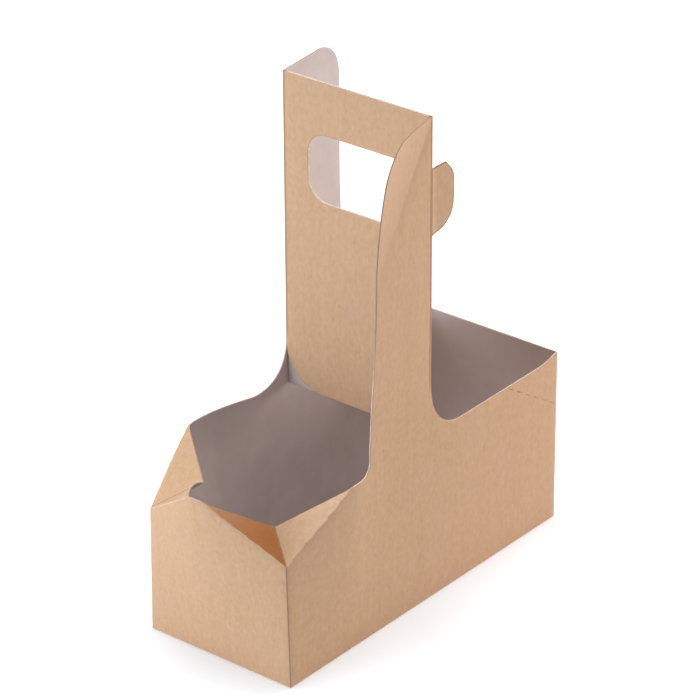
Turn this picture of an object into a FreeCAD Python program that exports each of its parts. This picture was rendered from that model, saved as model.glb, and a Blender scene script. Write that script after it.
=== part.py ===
"""Two-cup carrier folded and glued from one sheet of kraft-faced paperboard, in millimetres.

+X runs along the box, +Y away from the near long wall, +Z up. The origin is the middle of the base's underside.
The sheet's kraft side faces outwards. Each long wall carries a tall tongue. At X = 0 both tongues turn in
across the box, and the two turned-in plies are glued back to back as the handle. The box's two corners at -X
are tucked inwards, so the end wall between them leans out.
"""
import FreeCAD
import Part
import math
import os
import Sketcher

SIZES = {
    "box_length": 180.0,
    "box_width": 75.4,
    "board": 0.5,
    "corner_height": 80.5,
    "notch_height": 78.3,
    "corner_land": 2.5,
    "corner_slope": 6.0,
    "handle_height": 220.6,
    "tongue_width": 41.0,
    "tongue_corner": 15.0,
    "tongue_lean": 4.6,
    "lean_start": 88.0,
    "lean_end": 168.0,
    "curl_slope": 0.06,
    "curl_bend": 0.0052,
    "curl_angle": 54.0,
    "tongue_root": 6.0,
    "fold_root": 20.0,
    "flat_beside_root": 3.0,
    "hole_height": 30.2,
    "hole_below_top": 23.1,
    "hole_margin": 12.5,
    "hole_corner": 9.5,
    "tab_length": 15.0,
    "tab_corner_top": 7.5,
    "tab_corner_low": 11.0,
    "crease_height": 56.4,
    "corner_pull": 0.8,
    "end_lean": 11.0,
    "end_crest_width": 9.0,
    "end_crest_height": 78.6,
    "crease_gap_near": 4.5,
    "crease_bulge_near": 2.6,
    "crease_gap_far": 28.8,
    "crease_bulge_far": 10.6,
    "crease_drop_far": 1.6,
    "tuck_in_near": 14.0,
    "tuck_side_near": 18.8,
    "tuck_height_near": 62.0,
    "tuck_in_far": 15.6,
    "tuck_side_far": 17.0,
    "tuck_height_far": 68.0,
}


# steps that the flexed tongues' facets are divided into, across and up
FLEX_COLUMNS = 5
FLEX_ROWS = 12

# rounds, and share of each miss taken up in a round, when a mitred corner is settled behind its panels
MITRE_ROUNDS = 400
MITRE_SHARE = 0.5

# the largest gap, in millimetres, between points that count as one, and between a flat face and its corners
CLOSE = 1e-4
FLAT = 1e-6


class Size:
    """A number that remembers the sheet formula that it comes from."""

    def __init__(self, value, formula):
        self.value = value
        self.formula = formula

    def join(self, other, sign, result):
        formula = other.formula if isinstance(other, Size) else str(float(other))
        return Size(result, "({} {} {})".format(self.formula, sign, formula))

    def __add__(self, other):
        return self.join(other, "+", self.value + number(other))

    def __sub__(self, other):
        return self.join(other, "-", self.value - number(other))

    def __mul__(self, other):
        return self.join(other, "*", self.value * number(other))

    def __truediv__(self, other):
        return self.join(other, "/", self.value / number(other))

    def __neg__(self):
        return self * -1


def number(size):
    """The plain value of a size or a number."""
    return size.value if isinstance(size, Size) else float(size)


def make_sheet(doc):
    """Write the driving dimensions into the sheet and return them by name."""
    sheet = doc.addObject("Spreadsheet::Sheet", "Sizes")
    for row, (name, value) in enumerate(SIZES.items(), start=1):
        cell = "B{}".format(row)
        sheet.set("A{}".format(row), name)
        sheet.set(cell, str(value))
        sheet.setAlias(cell, name)
    doc.recompute()
    return {name: Size(float(sheet.get(name)), "Sizes." + name) for name in SIZES}


def origin_plane(body, role):
    return next(item for item in body.Origin.OriginFeatures if item.Role == role)


def outline_sketch(body, name, role, offset, corners):
    """Draw a closed outline through corners, each held by two sizes, on a plane at an offset along its normal."""
    sketch = body.newObject("Sketcher::SketchObject", name)
    sketch.AttachmentSupport = [(origin_plane(body, role), "")]
    sketch.MapMode = "FlatFace"
    sketch.AttachmentOffset = FreeCAD.Placement(FreeCAD.Vector(0, 0, number(offset)), FreeCAD.Rotation())
    sketch.setExpression("AttachmentOffset.Base.z", offset.formula)
    points = [FreeCAD.Vector(number(across), number(up), 0) for across, up in corners]
    for index, start in enumerate(points):
        sketch.addGeometry(Part.LineSegment(start, points[(index + 1) % len(points)]), False)
    for index in range(len(points)):
        sketch.addConstraint(Sketcher.Constraint("Coincident", index, 2, (index + 1) % len(points), 1))
    for index, corner in enumerate(corners):
        for direction, size in zip(("DistanceX", "DistanceY"), corner):
            held = sketch.addConstraint(Sketcher.Constraint(direction, -1, 1, index, 1, number(size)))
            if isinstance(size, Size):
                sketch.setExpression("Constraints[{}]".format(held), size.formula)
    return sketch


def pad(body, sketch, thickness):
    feature = body.newObject("PartDesign::Pad", sketch.Name + "_Pad")
    feature.Profile = sketch
    feature.setExpression("Length", thickness.formula)
    body.Tip = feature
    return feature


def pocket(body, sketch, depth):
    """Cut the outline through the board and make sure that it did cut."""
    before = body.Shape.Volume
    feature = body.newObject("PartDesign::Pocket", sketch.Name + "_Pocket")
    feature.Profile = sketch
    feature.Reversed = True
    feature.setExpression("Length", depth.formula)
    body.Tip = feature
    body.Document.recompute()
    if body.Shape.Volume >= before:
        raise RuntimeError(sketch.Name + " cuts nothing")
    return feature


def round_corners(body, name, normal, radius, places):
    """Round the board's corners that stand along normal at the given places."""
    body.Document.recompute()
    base = body.Tip
    edges = []
    for index, edge in enumerate(base.Shape.Edges, start=1):
        along = edge.Vertexes[-1].Point - edge.Vertexes[0].Point
        if along.Length < CLOSE or along.cross(normal).Length > CLOSE:
            continue
        foot = edge.Vertexes[0].Point
        flat = foot - normal * foot.dot(normal)
        if any(flat.distanceToPoint(corner) < CLOSE for corner in places):
            edges.append("Edge{}".format(index))
    if len(edges) != len(places):
        raise RuntimeError("{} found {} corners of {}".format(name, len(edges), len(places)))
    feature = body.newObject("PartDesign::Fillet", name)
    feature.Base = (base, edges)
    feature.Radius = number(radius)
    feature.setExpression("Radius", radius.formula)
    body.Tip = feature
    body.Document.recompute()
    return feature


def make_base(doc, size):
    """The bottom panel."""
    body = doc.addObject("PartDesign::Body", "BottomPanel")
    x = size["box_length"] / 2
    y = size["box_width"] / 2
    sketch = outline_sketch(body, "BottomOutline", "XY_Plane", size["board"] * 0,
                            [(-x, -y), (x, -y), (x, y), (-x, y)])
    pad(body, sketch, size["board"])
    return body


def make_end_wall(doc, size):
    """The straight end wall at +X."""
    body = doc.addObject("PartDesign::Body", "EndWall")
    y = size["box_width"] / 2
    top = size["corner_height"]
    sketch = outline_sketch(body, "EndWallOutline", "YZ_Plane", size["box_length"] / 2 - size["board"],
                            [(-y, 0.0), (y, 0.0), (y, top), (-y, top)])
    pad(body, sketch, size["board"])
    return body


def corner_notch(size):
    """Points from the +X corner's full height down to the notch."""
    end = size["box_length"] / 2
    land = end - size["corner_land"]
    return [(end, 0.0), (end, size["corner_height"]), (land, size["corner_height"]),
            (land - size["corner_slope"], size["notch_height"])]


def make_wall(doc, size, name, joint, facing, curled):
    """A long wall with its tongue: the outline cut through the board, which is flexed beside the fold.

    facing is -1 for the near wall, whose tongue lies to -X of its fold, and +1 for the far wall.
    """
    body = doc.addObject("PartDesign::Body", name + "Outline")
    fold = size["board"] * -facing
    side = size["tongue_width"] * facing
    top = size["handle_height"]
    notch = size["notch_height"]
    corners = [(joint, 0.0)] + corner_notch(size)
    tongue = [(fold, notch), (fold, top), (side, top), (side, notch)]
    corners += tongue if facing < 0 else tongue[::-1]
    corners += [(joint, notch)]
    # the outline's solid reaches out as far as the tongue is wide, which is more than it can ever flex
    room = size["tongue_width"]
    inside = size["box_width"] / 2 - size["board"]
    offset = inside if facing < 0 else -(inside + room)
    sketch = outline_sketch(body, name + "Sketch", "XZ_Plane", offset, corners)
    pad(body, sketch, room)
    normal = FreeCAD.Vector(0, 1, 0)
    round_corners(body, name + "FoldRoot", normal, size["fold_root"], [place(fold, notch)])
    round_corners(body, name + "TongueRoot", normal, size["tongue_root"], [place(side, notch)])
    round_corners(body, name + "TongueCorner", normal, size["tongue_corner"], [place(side, top)])
    board = flexed_board(doc, size, name + "Board", facing, curled)
    wall = doc.addObject("Part::Common", name)
    wall.Base = body
    wall.Tool = board
    return wall


def make_near_wall(doc, size):
    """The near long wall, from the tongue's root to the +X corner. Its tongue's upper corner curls outwards."""
    return make_wall(doc, size, "NearWall", near_joint(size), -1, True)


def make_far_wall(doc, size):
    """The far long wall, from beside its fold to the +X corner."""
    return make_wall(doc, size, "FarWall", far_joint(size), 1, False)


def flexed_board(doc, size, name, facing, curled):
    """The board that a long wall is cut from: flat below, leaning outwards at the tongue's free side."""
    value = {key: number(item) for key, item in size.items()}
    half = value["box_width"] / 2
    far_x = value["box_length"] / 2 + value["board"]
    high = value["handle_height"] + value["board"]
    tongue = spread(0, facing * value["tongue_width"], FLEX_COLUMNS)
    across = sorted(tongue + [-facing * value["board"], -far_x, far_x])
    up = [-value["board"]] + spread(value["lean_start"], high, FLEX_ROWS)
    grid = [[FreeCAD.Vector(x, facing * (half + flex(value, x * facing, z, curled)), z) for z in up] for x in across]
    feature = doc.addObject("Part::Feature", name)
    feature.Shape = slab(grid, FreeCAD.Vector(0, -facing * value["board"], 0))
    return feature


def spread(start, end, steps):
    """Evenly spaced values from start to end."""
    return [start + (end - start) * index / steps for index in range(steps + 1)]


def flex(value, out, z, curled):
    """How far the tongue stands outwards at a distance out from the fold and a height z."""
    if out <= 0:
        return 0.0
    out = min(out, value["tongue_width"])
    rise = min(max((z - value["lean_start"]) / (value["lean_end"] - value["lean_start"]), 0.0), 1.0)
    lean = value["tongue_lean"] * rise * (2 - rise) * out / value["tongue_width"]
    if not curled:
        return lean
    angle = math.radians(value["curl_angle"])
    beyond = max(0.0, out * math.sin(angle) + (z - value["handle_height"]) * math.cos(angle))
    return lean + value["curl_slope"] * beyond + value["curl_bend"] * beyond ** 2


def slab(grid, depth):
    """A closed board between a grid of points and the same grid moved by depth."""
    loops = []
    columns = len(grid)
    rows = len(grid[0])
    for column in range(columns - 1):
        for row in range(rows - 1):
            loop = [grid[column][row], grid[column + 1][row], grid[column + 1][row + 1], grid[column][row + 1]]
            loops += [loop, [point + depth for point in reversed(loop)]]
    rim = [grid[column][0] for column in range(columns)] + grid[-1][1:]
    rim += [grid[column][-1] for column in reversed(range(columns - 1))] + grid[0][-2:0:-1]
    for start, end in zip(rim, rim[1:] + rim[:1]):
        loops.append([end, start, start + depth, end + depth])
    return closed_solid([face for loop in loops for face in polygon_faces(loop)])


def closed_solid(faces):
    """The solid that a closed set of faces bounds."""
    shell = Part.makeShell(faces)
    shell.sewShape()
    solid = Part.makeSolid(shell)
    if solid.Volume < 0:
        solid.reverse()
    return solid


def place(x, z):
    """Where a corner of a long wall's outline lies."""
    return FreeCAD.Vector(number(x), 0, number(z))


def near_joint(size):
    """Where the near wall stops being flat, left of the tongue."""
    return -(size["tongue_width"] + size["tongue_root"] + size["flat_beside_root"])


def far_joint(size):
    """Where the far wall stops being flat, left of the handle's fold."""
    return -(size["board"] + size["fold_root"] + size["flat_beside_root"])


def make_ply(doc, size, name, facing):
    """One turned-in ply, cut along the notch below and rounded beside its own fold, with the hand hole.

    facing is +1 for the ply that the far tongue's fold carries, in front, and -1 for the near one's, behind it.
    """
    body = doc.addObject("PartDesign::Body", name)
    fold = size["box_width"] / 2 * facing
    low = size["notch_height"]
    top = size["handle_height"]
    offset = size["board"] * (-1 if facing > 0 else 0)
    panel = outline_sketch(body, name + "Outline", "YZ_Plane", offset,
                           [(-fold, low), (fold, low), (fold, top), (-fold, top)])
    pad(body, panel, size["board"])
    normal = FreeCAD.Vector(1, 0, 0)
    root = [FreeCAD.Vector(0, number(fold), number(low))]
    round_corners(body, name + "Corner", normal, size["fold_root"], root)
    hole_top = top - size["hole_below_top"]
    hole_low = hole_top - size["hole_height"]
    reach = size["box_width"] / 2 - size["hole_margin"]
    hole = outline_sketch(body, name + "HandHole", "YZ_Plane", offset,
                          [(-reach, hole_low), (reach, hole_low), (reach, hole_top), (-reach, hole_top)])
    pocket(body, hole, size["board"])
    ends = [FreeCAD.Vector(0, side * number(reach), number(up)) for side in (-1, 1) for up in (hole_low, hole_top)]
    round_corners(body, name + "HandHoleCorners", normal, size["hole_corner"], ends)
    return body


def make_front_ply(doc, size):
    """The front ply, which the far tongue's fold carries."""
    return make_ply(doc, size, "FrontPly", 1)


def make_rear_ply(doc, size):
    """The rear ply, with the wider cut that frees the tab."""
    body = make_ply(doc, size, "RearPly", -1)
    top = size["handle_height"] - size["hole_below_top"]
    low = top - size["hole_height"]
    inner = size["board"] - size["box_width"] / 2
    reach = size["hole_margin"] + size["hole_corner"] - size["box_width"] / 2
    cut = outline_sketch(body, "TabCutOut", "YZ_Plane", size["board"] * 0,
                         [(inner, low), (reach, low), (reach, top), (inner, top)])
    pocket(body, cut, size["board"])
    return body


def make_tab(doc, size):
    """The rear ply's tab, left standing out from the near fold."""
    body = doc.addObject("PartDesign::Body", "HandleTab")
    root = size["board"] * 0
    tip = size["board"] + size["tab_length"]
    top = size["handle_height"] - size["hole_below_top"]
    low = top - size["hole_height"]
    sketch = outline_sketch(body, "TabOutline", "XZ_Plane", size["box_width"] / 2 - size["board"],
                            [(root, low), (tip, low), (tip, top), (root, top)])
    pad(body, sketch, size["board"])
    normal = FreeCAD.Vector(0, 1, 0)
    round_corners(body, "TabTopCorner", normal, size["tab_corner_top"], [place(tip, top)])
    round_corners(body, "TabLowCorner", normal, size["tab_corner_low"], [place(tip, low)])
    return body


def tucked_end_points(size):
    """Corners of the folded sheet's kraft side at -X, worked out from the sizes."""
    value = {name: number(item) for name, item in size.items()}
    end = -value["box_length"] / 2
    half = value["box_width"] / 2
    crest = value["end_crest_width"] / 2
    pulled = half - value["corner_pull"]
    lean = end - value["end_lean"]
    notch = value["notch_height"]
    near_end = number(near_joint(size))
    far_end = number(far_joint(size))
    vector = FreeCAD.Vector
    return {
        "base near": vector(end, -half, 0),
        "base far": vector(end, half, 0),
        "crease near": vector(end, -pulled, value["crease_height"]),
        "crease far": vector(end, pulled, value["crease_height"]),
        "crest near": vector(lean, -crest, value["end_crest_height"]),
        "crest far": vector(lean, crest, value["end_crest_height"]),
        "tuck near": vector(end + value["tuck_in_near"], value["tuck_side_near"] - half, value["tuck_height_near"]),
        "tuck far": vector(end + value["tuck_in_far"], half - value["tuck_side_far"], value["tuck_height_far"]),
        "wall near": vector(near_end - value["crease_gap_near"], -half - value["crease_bulge_near"], notch),
        "wall far": vector(far_end - value["crease_gap_far"], half + value["crease_bulge_far"],
                           notch - value["crease_drop_far"]),
        "near foot": vector(near_end, -half, 0),
        "near top": vector(near_end, -half, notch),
        "far foot": vector(far_end, half, 0),
        "far top": vector(far_end, half, notch),
    }


TUCKED_END_PANELS = [
    ("base near", "crest near", "crest far", "base far"),
    ("base near", "crease near", "crest near"),
    ("base far", "crest far", "crease far"),
    ("crease near", "tuck near", "crest near"),
    ("crease far", "crest far", "tuck far"),
    ("crease near", "wall near", "tuck near"),
    ("crease far", "tuck far", "wall far"),
    ("base near", "wall near", "crease near"),
    ("base near", "near foot", "wall near"),
    ("near foot", "near top", "wall near"),
    ("base far", "crease far", "wall far"),
    ("base far", "wall far", "far foot"),
    ("far foot", "wall far", "far top"),
]


def panel_normal(points, panel):
    """Unit normal on the kraft side of a panel."""
    first, second, third = (points[name] for name in panel[:3])
    normal = (second - first).cross(third - first)
    return normal.normalize()


def inner_point(name, points, normals, board, held):
    """The white side's point: one board's thickness behind every panel that meets at this corner."""
    if name in held:
        return points[name] + held[name]
    step = FreeCAD.Vector(0, 0, 0)
    for _ in range(MITRE_ROUNDS):
        for normal in normals:
            miss = -board - step.dot(normal)
            step += normal * (miss * MITRE_SHARE)
    return points[name] + step


def make_tucked_end(doc, size):
    """The leaning end wall, the two tucked corners and the long walls' flexed stretches, as one folded sheet."""
    points = tucked_end_points(size)
    board = number(size["board"])
    facing = {panel: panel_normal(points, panel) for panel in TUCKED_END_PANELS}
    vector = FreeCAD.Vector
    held = {
        "base near": vector(board, board, 0),
        "base far": vector(board, -board, 0),
        "near foot": vector(0, board, 0),
        "near top": vector(0, board, 0),
        "far foot": vector(0, -board, 0),
        "far top": vector(0, -board, 0),
    }
    inner = {}
    for name in points:
        normals = [facing[panel] for panel in TUCKED_END_PANELS if name in panel]
        inner[name] = inner_point(name, points, normals, board, held)
    faces = []
    sides = set()
    for panel in TUCKED_END_PANELS:
        faces += polygon_faces([points[name] for name in panel])
        faces += polygon_faces([inner[name] for name in reversed(panel)])
        sides.update(zip(panel, panel[1:] + panel[:1]))
    for start, end in sides:
        if (end, start) not in sides:
            faces += polygon_faces([points[end], points[start], inner[start], inner[end]])
    feature = doc.addObject("Part::Feature", "TuckedEnd")
    feature.Shape = closed_solid(faces)
    return feature


def polygon_faces(corners):
    """One flat face where the corners lie in a plane, or else triangles."""
    loop = Part.makePolygon(corners + corners[:1])
    if len(corners) == 3 or loop.findPlane(FLAT):
        return [Part.Face(loop)]
    first, second, third, fourth = corners
    return [Part.Face(Part.makePolygon([first, second, third, first])),
            Part.Face(Part.makePolygon([first, third, fourth, first]))]


def check_document(doc):
    for item in doc.Objects:
        if "Invalid" in item.State or "Error" in item.State:
            raise RuntimeError("{} failed: {}".format(item.Label, item.State))


def main():
    doc = FreeCAD.newDocument("CupCarrier")
    size = make_sheet(doc)
    makers = (make_base, make_end_wall, make_near_wall, make_far_wall, make_front_ply, make_rear_ply, make_tab,
              make_tucked_end)
    panels = [maker(doc, size) for maker in makers]
    doc.recompute()
    carrier = doc.addObject("Part::MultiFuse", "Carrier")
    carrier.Shapes = panels
    carrier.Refine = True
    carrier.Label = "folded_carrier"
    carrier.Placement = FreeCAD.Placement()
    doc.recompute()
    check_document(doc)
    shape = carrier.Shape
    if shape.isNull() or not shape.isValid() or len(shape.Solids) != 1:
        raise RuntimeError("the folded carrier is not one valid solid")
    os.makedirs("parts", exist_ok=True)
    shape.exportStep(os.path.join("parts", carrier.Label + ".step"))
    box = shape.BoundBox
    print("volume", round(shape.Volume), "box", [round(value, 2) for value in
                                                 (box.XMin, box.YMin, box.ZMin, box.XMax, box.YMax, box.ZMax)])


main()
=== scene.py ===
"""Looks of the two-cup carrier: one sheet of kraft-faced board, creased, flexed and glued. In metres."""
import math

import bmesh
import bpy
from bpy.props import FloatProperty, FloatVectorProperty, PointerProperty
from mathutils import Matrix, Vector
from mathutils.geometry import delaunay_2d_cdt
from mathutils.kdtree import KDTree


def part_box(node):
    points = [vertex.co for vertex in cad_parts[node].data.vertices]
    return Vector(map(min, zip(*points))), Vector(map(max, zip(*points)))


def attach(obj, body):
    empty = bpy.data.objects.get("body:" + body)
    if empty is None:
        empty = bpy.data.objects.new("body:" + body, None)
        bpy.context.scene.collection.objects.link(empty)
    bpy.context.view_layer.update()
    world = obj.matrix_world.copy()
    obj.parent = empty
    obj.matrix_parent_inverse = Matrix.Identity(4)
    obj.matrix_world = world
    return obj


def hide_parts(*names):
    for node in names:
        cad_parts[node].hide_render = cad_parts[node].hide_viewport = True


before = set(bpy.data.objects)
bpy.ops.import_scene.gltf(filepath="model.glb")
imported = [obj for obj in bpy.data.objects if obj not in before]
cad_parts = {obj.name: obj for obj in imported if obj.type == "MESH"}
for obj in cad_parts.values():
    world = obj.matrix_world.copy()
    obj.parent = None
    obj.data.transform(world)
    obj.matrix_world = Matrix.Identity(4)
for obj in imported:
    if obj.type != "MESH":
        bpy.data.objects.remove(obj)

bl_info = {
    "name": "Folded Cup Carrier",
    "version": (1, 0, 0),
    "blender": (4, 5, 0),
    "location": "3D View > Sidebar > Carrier",
    "description": "Builds a two-cup carrier from one folded sheet of kraft-faced board",
    "category": "Add Mesh",
}

NODE = "folded_carrier"
BODY = "root"
CAD_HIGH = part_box(NODE)[1]
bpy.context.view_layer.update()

# Marks on the sheet's points, from 0 to 1: creases, scored folds, cut edges and the painted shade of the
# near tucked corner. The crease mark also carries painted highlight, and the fold mark carries the tab's
# painted shade border.
MARKS = ("crease", "fold", "cut", "deep")
WALL_FOLD = 0.6
NEAR_CREASE = 0.7
PAINTED_SHADE_AT_FOLDS = 0.5

# Steps along the folds that panels share.
LENGTH_STEPS = 60
WIDTH_STEPS = 25
HEIGHT_STEPS = 27
CORNER_STEPS = 19
CREASE_STEPS = 42
RIDGE_STEPS = 24
LOW_STEPS = 23
TAB_STEPS = 10
TOP_STEPS = 8

# Spacing of the cut dashes along a crease, the shares of it at which dashes and tears start, and how far
# ahead, as a share of the crease, a dash points.
DASH_PITCH = 0.0071
DASH_START = 0.62
TEAR_START = 0.35
DASH_AHEAD = 0.01

# How fast the tears grow to their full depth from either end of a crease, whose length counts as 1.
TEAR_GROWTH = 8

# Shortest and longest dash as shares of the named length, and the seed that picks them.
DASH_SHARES = (0.82, 1.12)
DASH_SEED = 7

# Limits of the flat mesh: twice the smallest area of a sound face, how close to the outline an inset point
# and, in mesh steps, a grid point may come, and within what distance flat points and panels merge.
SLIVER = 1e-9
INSET_CLEARANCE = 0.0003
GRID_CLEARANCE = 0.7
FLAT_MERGE = 1e-9
PANEL_MERGE = 2e-5

# How often a flat mesh is gone over for slivers, and how close to its apex a triangle's crease line ends.
SLIVER_ROUNDS = 4
APEX_CLEARANCE = 1e-9


def length(name, default, description):
    return FloatProperty(name=name, default=default, unit="LENGTH", precision=5, description=description)


def colour(name, default, description):
    """A colour property. Its default is given as screen values from 0 to 255."""
    values = [value / 255 for value in default]
    linear = [value / 12.92 if value <= 0.04045 else ((value + 0.055) / 1.055) ** 2.4 for value in values]
    return FloatVectorProperty(name=name, default=linear, size=3, min=0, max=1, subtype="COLOR",
                               description=description)


class CarrierSizes(bpy.types.PropertyGroup):
    """Sizes of the flat sheet and of the shape it is flexed into."""

    board: length("Board", 0.0005, "Thickness of the sheet")
    half_length: length("Half length", CAD_HIGH.x, "Half the box's length")
    half_base: length("Half width at the base", 0.0374, "Half the bottom panel's width")
    half_handle: length("Half width at the handle", 0.0383, "Half the box's width under the handle")
    corner_height: length("Corner height", 0.0805, "Height of the walls at the box's corners")
    notch_height: length("Notch height", 0.0783, "Height of the long walls beside the handle")
    corner_land: length("Corner land", 0.0010, "Full-height stretch of a long wall beside a corner")
    corner_slope: length("Corner slope", 0.0095, "Length of the slope from a corner down to the notch")
    corner_ease: length("Corner easing", 0.030, "Radius where that slope meets the notch")
    handle_height: length("Handle height", CAD_HIGH.z, "Height of the handle's top edge")
    tongue_width: length("Tongue width", 0.041, "Width of the tongue beside its fold")
    tongue_corner: length("Tongue corner", 0.015, "Radius of the tongue's upper corner")
    tongue_root: length("Tongue root", 0.006, "Radius where the tongue's free side meets the notch")
    fold_root: length("Fold root", 0.020, "Radius where the tongue's fold meets the notch")
    ply_offset: length("Ply offset", 0.00052, "Distance of each ply's kraft face from the middle plane")
    ply_gap: length("Ply gap", 0.0001, "Gap between a ply's free end and the wall it reaches")
    hole_low: length("Hole low", 0.1673, "Height of the hand hole's lower edge")
    hole_high: length("Hole high", 0.1975, "Height of the hand hole's upper edge")
    hole_reach: length("Hole reach", 0.0252, "Half the hand hole's length")
    hole_corner: length("Hole corner", 0.0095, "Radius of the hand hole's corners at its far end")
    hole_tight: length("Hole tight corner", 0.0060, "Radius of the hand hole's corners at its near end")
    tab_length: length("Tab length", 0.0159, "How far the tab stands out from the fold")
    tab_top: length("Tab top corner", 0.0075, "Radius of the tab's upper corner")
    tab_low: length("Tab low corner", 0.0110, "Radius of the tab's lower corner")
    tab_step: length("Tab step", 0.0009, "How far the tab lies behind the tongue's face")
    # The tab's darkened border is painted shade along its cut edge.
    tab_border: length("Tab border", 0.0010, "Width of the darkened border along the tab's cut edge")
    crease_height: length("Crease height", 0.0552, "Height at which the upright corners' cut creases start")
    crease_reach: length("Crease reach", 0.0370, "How far along a long wall its cut crease runs")
    crest_half: length("Crest half width", 0.0045, "Half the upright end's top between its two cut creases")
    tongue_lean: length("Tongue lean", 0.0046, "How far the tongues' free sides lean out above the notch")
    lean_start: length("Lean start", 0.088, "Height at which the tongues start to lean")
    lean_end: length("Lean end", 0.168, "Height at which the lean is complete")
    curl_slope: FloatProperty(name="Curl slope", default=0.06,
                              description="Slope at the near tongue's curl line")
    curl_bend: FloatProperty(name="Curl bend", default=5.2,
                             description="How fast the curl steepens, per metre")
    curl_angle: FloatProperty(name="Curl angle", default=math.radians(54), subtype="ANGLE",
                              description="Angle of the curl line from level")
    dash_length: length("Dash length", 0.0048, "Length of a cut dash")
    dash_width: length("Dash width", 0.00045, "Width of a cut dash")
    dash_depth: length("Dash depth", 0.00008, "Thickness of the thin body that shows a cut dash")
    fold_round: length("Fold rounding", 0.00045, "Outer rounding of every fold")
    mesh_step: length("Mesh step", 0.003, "Spacing of the sheet's mesh")
    edge_step: length("Edge step", 0.0015, "Spacing of points round curved cut edges")


class CarrierLook(bpy.types.PropertyGroup):
    """Colours of the board and of the stage."""

    kraft_tan: colour("Kraft tan", (210, 169, 128), "Yellower clouds of the kraft face")
    kraft_pink: colour("Kraft pink", (213, 170, 138), "Pinker clouds of the kraft face")
    kraft_light: colour("Kraft light", (222, 185, 150), "Lightest fibres of the kraft face")
    kraft_dark: colour("Kraft dark", (199, 155, 118), "Darkest fibres of the kraft face")
    # Painted shade, multiplied into the kraft face down on the near tucked corner's end face.
    kraft_painted_shade: colour("Kraft deep", (222, 176, 130), "What tints the kraft face down in the tucked corner")
    fleck: colour("Fleck", (168, 126, 92), "Single dark fibres in the kraft face")
    # Fold: pressed fibres along scored folds, and a darker band along cut edges. It is also painted shade
    # along the tab's edge and fold, beside the near tongue's curl line and along the handle's folds.
    fold: colour("Fold", (150, 106, 74), "Pressed fibres along scored folds and cut edges")
    # Ridge: stretched and torn fibres along creases. It is also used as a painted highlight on the tucked
    # corners' creases, the near tucked side face and the near tongue's curled strip.
    ridge: colour("Ridge", (238, 206, 176), "Stretched fibres along the folds")
    white: colour("White", (216, 204, 201), "The white inner face")
    white_dark: colour("White shade", (204, 190, 187), "Uneven patches of the white inner face")
    edge: colour("Cut edge", (240, 222, 208), "The cut edge")
    edge_core: colour("Edge core", (212, 182, 158), "The darker core that shows in the cut edge")
    # Painted shade on the upper cut edges of the tongues and the tab.
    edge_painted_shade: colour("Worn edge", (140, 110, 86), "The handled cut edge of the tongues and the tab")
    # Painted shade: the dark colour of the thin bodies that stand for the shadowed insides of the cut
    # dashes.
    slit_shade: colour("Slit", (134, 94, 64), "Cut dashes of the creases")
    floor: colour("Floor", (227, 231, 237), "The floor")
    backdrop: colour("Backdrop", (254, 254, 254), "The background past the floor")


# Each long wall's distance from the middle plane along its top: place along the box, distance, and slope.
NEAR_TOP = [(-0.0900, 0.0367, 0.110), (-0.0555, 0.0408, 0.060), (-0.0480, 0.0406, -0.110),
            (-0.0410, 0.0396, -0.110), (-0.0160, 0.0383, 0.0), (0.0, 0.0383, 0.0), (0.0900, 0.0373, -0.010)]
FAR_TOP = [(-0.0900, 0.0374, 0.290), (-0.0530, 0.0478, 0.200), (-0.0460, 0.0482, -0.080),
           (-0.0180, 0.0404, -0.210), (0.0, 0.0383, 0.0), (0.0900, 0.0373, -0.010)]

# The tucked end's creases on each side of the middle plane: where the vertical fold ends, how far that
# corner stands beyond the box's length, where the crease meets the end wall's top and the long wall's, how
# far the long wall's drops there, where the corner is pushed to, its end face's bow, and the tears' depth.
NEAR_SIDE = {"facing": -1, "corner_up": 0.0565, "corner_out": 0.0009, "crest_in": 0.0032,
             "crest_up": 0.0781, "side_in": 0.0350, "side_drop": 0.0001, "tip": (-0.0762, -0.0184, 0.0620),
             "bow": (0.0, 0.0, 0.0), "side_jag": 0.0008, "end_jag": 0.0003}
FAR_SIDE = {"facing": 1, "corner_up": 0.0566, "corner_out": -0.0011, "crest_in": 0.0055,
            "crest_up": 0.0787, "side_in": 0.0375, "side_drop": 0.0017, "tip": (-0.0743, 0.0209, 0.0683),
            "bow": (-0.0008, 0.0008, 0.0020), "side_jag": 0.0003, "end_jag": 0.0002}

# The tucked end wall's top: place across the box, how far it stands out beyond the box's length, and slope.
END_TOP = [(-0.0374, 0.0009, 0.27), (-0.0060, 0.0101, 0.26), (0.0010, 0.0112, 0.03),
           (0.0075, 0.0109, -0.26), (0.0374, -0.0011, -0.40)]

# The same top's height: place across the box, height, and slope.
END_HEIGHT = [(-0.0374, 0.0565, 0.62), (-0.0080, 0.0750, 0.60), (0.0010, 0.0790, 0.02),
              (0.0100, 0.0756, -0.62), (0.0374, 0.0566, -0.70)]

# The height over which a long wall eases into its tongue, the length over which the tucked end's stand-out
# fades along a long wall, and the places along the box between which the drop of its top fades.
TONGUE_EASE = 0.035
TUCK_FADE = 0.035
DROP_FADE = (-0.050, -0.025)

# How far a long wall's top rises beside its upright corner, and how it is rounded there.
CORNER_RISE = 0.0001
CORNER_ROUND = 0.003

# The tab's corners from the hand hole's lower edge up: share of the tab's length, height above that edge,
# and share of the low corner's radius. Its top corner is given likewise, down from the hole's upper edge.
TAB_LOW_CORNERS = ((0.56, 0.0018, 1.0), (0.94, 0.0066, 0.8), (1.0, 0.0150, 3.5))
TAB_TOP_CORNER = (0.975, 0.0056, 1.1)

# The tab's small step beside its fold, its apex as a share of its length and a distance below that edge,
# the rounding of both, and the length over which it steps back behind the tongue.
TAB_NICK = 0.0008
TAB_APEX = (0.65, 0.0001)
TAB_SHARP = 0.0004
TAB_EASE = 0.0012

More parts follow.
